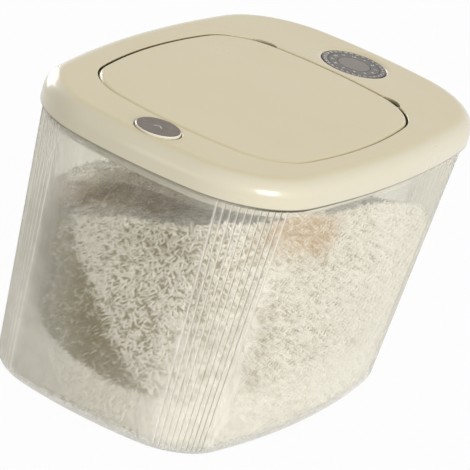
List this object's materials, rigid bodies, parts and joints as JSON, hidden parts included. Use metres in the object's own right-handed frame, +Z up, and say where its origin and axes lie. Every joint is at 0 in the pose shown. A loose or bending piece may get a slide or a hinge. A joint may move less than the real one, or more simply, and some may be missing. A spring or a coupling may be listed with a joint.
{
  "type": "rice bin",
  "caption": "Clear tapered food bin with bulging sides and fluted corners, a lift-off lid with a push-button flap over the mouth, and a date dial.",
  "frame": {"origin": "middle of the bottom face, on the surface that the bin stands on", "axes": "+Z up, -Y towards the button at the front, +X to the right as seen from the front"},
  "size_m": [0.22, 0.3308, 0.2075],
  "materials": {
    "clear_plastic": "clear, glossy",
    "cream_plastic": "soft satin cream",
    "liner_plastic": "satin off-white",
    "silicone": "translucent white",
    "steel": "plain steel",
    "spring_wire": "drawn wire",
    "button_plastic": "pale, bright edge",
    "dark_metal": "grey-brown brushed plate",
    "latch_plastic": "plain white",
    "dial_metal": "satin grey metal"
  },
  "bodies": {
    "bin": {"bin_body": "clear_plastic"},
    "lid": {"lid_frame": "cream_plastic", "lid_liner": "liner_plastic", "lid_seal": "silicone", "lid_screws": "steel", "hinge_pin_left": "steel", "hinge_pin_right": "steel", "hinge_spring_left": "spring_wire", "hinge_spring_right": "spring_wire", "button_spring": "spring_wire", "latch_spring": "spring_wire", "dial_cap": "dial_metal", "dial_screw": "steel"},
    "flap": {"flip_panel": "cream_plastic", "panel_liner": "liner_plastic", "panel_seal": "silicone", "panel_screws": "steel"},
    "button": {"button_body": "button_plastic", "button_plate": "dark_metal"},
    "latch": {"latch_slider": "latch_plastic"},
    "day_dial": {"day_ring": "dial_metal"},
    "month_dial": {"month_ring": "dial_metal"}
  },
  "joints": [
    {"name": "lid_lift", "type": "slide", "parent": "bin", "child": "lid", "axis": [0, 0, 1], "range_m": [0, 0.12]},
    {"name": "flap_hinge", "type": "hinge", "parent": "lid", "child": "flap", "pos_m": [0, 0.084, 0.203], "axis": [-1, 0, 0], "range_deg": [0, 80], "deforming": ["hinge_spring_left", "hinge_spring_right"]},
    {"name": "button_press", "type": "slide", "parent": "lid", "child": "button", "axis": [0, 0, -1], "range_m": [0, 0.0025], "stiffness_N_per_m": 400, "springref_m": -0.003, "deforming": ["button_spring"]},
    {"name": "latch_slide", "type": "slide", "parent": "lid", "child": "latch", "axis": [0, -1, 0], "range_m": [0, 0.0025], "stiffness_N_per_m": 100, "springref_m": -0.002, "deforming": ["latch_spring"]},
    {"name": "day_turn", "type": "hinge", "parent": "lid", "child": "day_dial", "pos_m": [0, 0.122, 0.205], "axis": [0, 0, 1], "continuous": true},
    {"name": "month_turn", "type": "hinge", "parent": "lid", "child": "month_dial", "pos_m": [0, 0.122, 0.205], "axis": [0, 0, 1], "continuous": true}
  ],
  "couplings": [
    {"joint": "latch_slide", "follows": "button_press", "ratio": 1}
  ]
}
